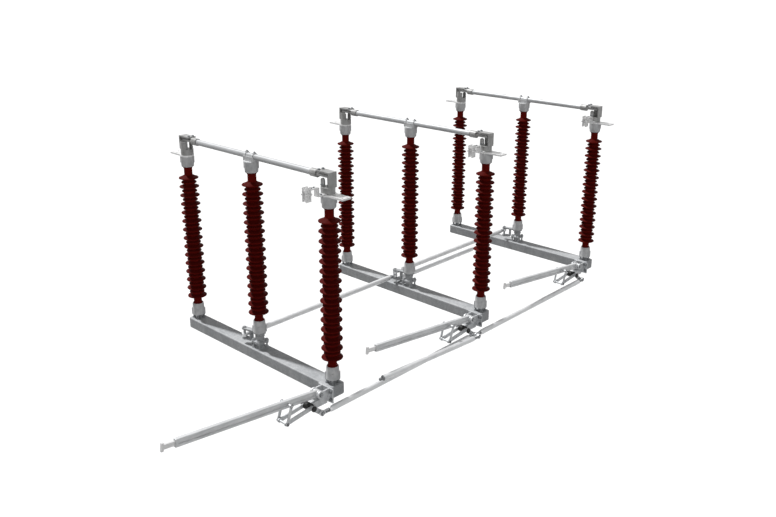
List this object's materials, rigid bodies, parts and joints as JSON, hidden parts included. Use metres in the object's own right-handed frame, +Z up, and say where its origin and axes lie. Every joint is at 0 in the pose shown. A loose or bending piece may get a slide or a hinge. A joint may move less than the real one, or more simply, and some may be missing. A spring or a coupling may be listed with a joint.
{
  "type": "substation disconnect switch",
  "caption": "Outdoor high-voltage disconnect switch: double-break blades turn on centre insulators, rods link the poles, and earthing arms swing up to the fixed contacts",
  "frame": {"origin": "centre of the underside of the middle pole's base beam", "axes": "+X along the beams toward the earthing gear, +Y from pole to pole, +Z up"},
  "size_m": [2.2, 5.4839, 1.906],
  "materials": {
    "galvanised_steel": "hot-dip galvanised, matt",
    "cast_fitting": "galvanised casting",
    "silicone_shed": "moulded silicone, satin",
    "aluminium_tube": "drawn, dull",
    "plated_copper": "silver-plated copper alloy, dull"
  },
  "bodies": {
    "frame": {"base_beam_1": "galvanised_steel", "post_insulators_1": "silicone_shed", "post_fittings_1": "cast_fitting", "post_studs_1": "galvanised_steel", "bearing_1": "galvanised_steel", "base_beam_2": "galvanised_steel", "post_insulators_2": "silicone_shed", "post_fittings_2": "cast_fitting", "post_studs_2": "galvanised_steel", "bearing_2": "galvanised_steel", "base_beam_3": "galvanised_steel", "post_insulators_3": "silicone_shed", "post_fittings_3": "cast_fitting", "post_studs_3": "galvanised_steel", "bearing_3": "galvanised_steel", "terminal_plates": "aluminium_tube", "fixed_contacts": "plated_copper", "earth_contacts": "plated_copper", "earth_brackets": "galvanised_steel"},
    "rotor_1": {"rotor_insulator_1": "silicone_shed", "rotor_fittings_1": "cast_fitting", "rotor_lever_1": "galvanised_steel", "blade_tube_1": "aluminium_tube", "blade_clamp_1": "cast_fitting", "blade_contacts_1": "plated_copper"},
    "rotor_2": {"rotor_insulator_2": "silicone_shed", "rotor_fittings_2": "cast_fitting", "rotor_lever_2": "galvanised_steel", "blade_tube_2": "aluminium_tube", "blade_clamp_2": "cast_fitting", "blade_contacts_2": "plated_copper"},
    "rotor_3": {"rotor_insulator_3": "silicone_shed", "rotor_fittings_3": "cast_fitting", "rotor_lever_3": "galvanised_steel", "blade_tube_3": "aluminium_tube", "blade_clamp_3": "cast_fitting", "blade_contacts_3": "plated_copper"},
    "phase_rods": {"phase_rod_near": "galvanised_steel", "phase_rod_far": "galvanised_steel", "drive_rod": "galvanised_steel"},
    "arm_1": {"earth_arm_1": "aluminium_tube"},
    "tip_1": {"earth_tip_1": "plated_copper"},
    "crank_1": {"earth_crank_1": "galvanised_steel"},
    "links_1": {"earth_links_1": "galvanised_steel"},
    "arm_2": {"earth_arm_2": "aluminium_tube"},
    "tip_2": {"earth_tip_2": "plated_copper"},
    "crank_2": {"earth_crank_2": "galvanised_steel"},
    "links_2": {"earth_links_2": "galvanised_steel"},
    "arm_3": {"earth_arm_3": "aluminium_tube"},
    "tip_3": {"earth_tip_3": "plated_copper"},
    "crank_3": {"earth_crank_3": "galvanised_steel"},
    "links_3": {"earth_links_3": "galvanised_steel"},
    "earth_rods": {"earth_rod_near": "galvanised_steel", "earth_rod_far": "galvanised_steel", "earth_drive_rod": "galvanised_steel"}
  },
  "joints": [
    {"name": "blade_turn_1", "type": "hinge", "parent": "frame", "child": "rotor_1", "pos_m": [0, -1.925, 0.248], "axis": [0, 0, -1], "range_deg": [0, 70]},
    {"name": "blade_turn_2", "type": "hinge", "parent": "frame", "child": "rotor_2", "pos_m": [0, 0, 0.248], "axis": [0, 0, -1], "range_deg": [0, 70]},
    {"name": "blade_turn_3", "type": "hinge", "parent": "frame", "child": "rotor_3", "pos_m": [0, 1.925, 0.248], "axis": [0, 0, -1], "range_deg": [0, 70]},
    {"name": "phase_rods_swing", "type": "hinge", "parent": "rotor_2", "child": "phase_rods", "pos_m": [-0.1601, -0.03992, 0.178], "axis": [0, 0, -1], "range_deg": [-70, 0]},
    {"name": "arm_lift_1", "type": "hinge", "parent": "frame", "child": "arm_1", "pos_m": [0.91, -2.093, 0.07], "axis": [-1, 0, 0], "range_deg": [0, 81.5]},
    {"name": "tip_slide_1", "type": "slide", "parent": "arm_1", "child": "tip_1", "axis": [0, -0.993, 0.1184], "range_m": [0, 0.2041]},
    {"name": "crank_turn_1", "type": "hinge", "parent": "frame", "child": "crank_1", "pos_m": [0.91, -2.187, -0.004], "axis": [-1, 0, 0], "range_deg": [0, 98.6]},
    {"name": "links_swing_1", "type": "hinge", "parent": "arm_1", "child": "links_1", "pos_m": [0.91, -2.39883, 0.10647], "axis": [-1, 0, 0], "range_deg": [-68.3, 0]},
    {"name": "arm_lift_2", "type": "hinge", "parent": "frame", "child": "arm_2", "pos_m": [0.91, -0.168, 0.07], "axis": [-1, 0, 0], "range_deg": [0, 81.5]},
    {"name": "tip_slide_2", "type": "slide", "parent": "arm_2", "child": "tip_2", "axis": [0, -0.993, 0.1184], "range_m": [0, 0.2041]},
    {"name": "crank_turn_2", "type": "hinge", "parent": "frame", "child": "crank_2", "pos_m": [0.91, -0.262, -0.004], "axis": [-1, 0, 0], "range_deg": [0, 98.6]},
    {"name": "links_swing_2", "type": "hinge", "parent": "arm_2", "child": "links_2", "pos_m": [0.91, -0.47383, 0.10647], "axis": [-1, 0, 0], "range_deg": [-68.3, 0]},
    {"name": "arm_lift_3", "type": "hinge", "parent": "frame", "child": "arm_3", "pos_m": [0.91, 1.757, 0.07], "axis": [-1, 0, 0], "range_deg": [0, 81.5]},
    {"name": "tip_slide_3", "type": "slide", "parent": "arm_3", "child": "tip_3", "axis": [0, -0.993, 0.1184], "range_m": [0, 0.2041]},
    {"name": "crank_turn_3", "type": "hinge", "parent": "frame", "child": "crank_3", "pos_m": [0.91, 1.663, -0.004], "axis": [-1, 0, 0], "range_deg": [0, 98.6]},
    {"name": "links_swing_3", "type": "hinge", "parent": "arm_3", "child": "links_3", "pos_m": [0.91, 1.45117, 0.10647], "axis": [-1, 0, 0], "range_deg": [-68.3, 0]},
    {"name": "earth_rods_swing", "type": "hinge", "parent": "crank_2", "child": "earth_rods", "pos_m": [1.012, -0.195, -0.06], "axis": [-1, 0, 0], "range_deg": [-98.6, 0]}
  ],
  "couplings": [
    {"joint": "blade_turn_1", "follows": "blade_turn_2", "ratio": 1},
    {"joint": "blade_turn_3", "follows": "blade_turn_2", "ratio": 1},
    {"joint": "phase_rods_swing", "follows": "blade_turn_2", "ratio": -1},
    {"joint": "arm_lift_1", "follows": "arm_lift_2", "ratio": 1},
    {"joint": "tip_slide_1", "follows": "arm_lift_2", "m_per_rad": 0.14342},
    {"joint": "crank_turn_1", "follows": "arm_lift_2", "ratio": 1.208},
    {"joint": "links_swing_1", "follows": "arm_lift_2", "ratio": -0.8362},
    {"joint": "tip_slide_2", "follows": "arm_lift_2", "m_per_rad": 0.14342},
    {"joint": "crank_turn_2", "follows": "arm_lift_2", "ratio": 1.208},
    {"joint": "links_swing_2", "follows": "arm_lift_2", "ratio": -0.8362},
    {"joint": "arm_lift_3", "follows": "arm_lift_2", "ratio": 1},
    {"joint": "tip_slide_3", "follows": "arm_lift_2", "m_per_rad": 0.14342},
    {"joint": "crank_turn_3", "follows": "arm_lift_2", "ratio": 1.208},
    {"joint": "links_swing_3", "follows": "arm_lift_2", "ratio": -0.8362},
    {"joint": "earth_rods_swing", "follows": "arm_lift_2", "ratio": -1.208}
  ]
}
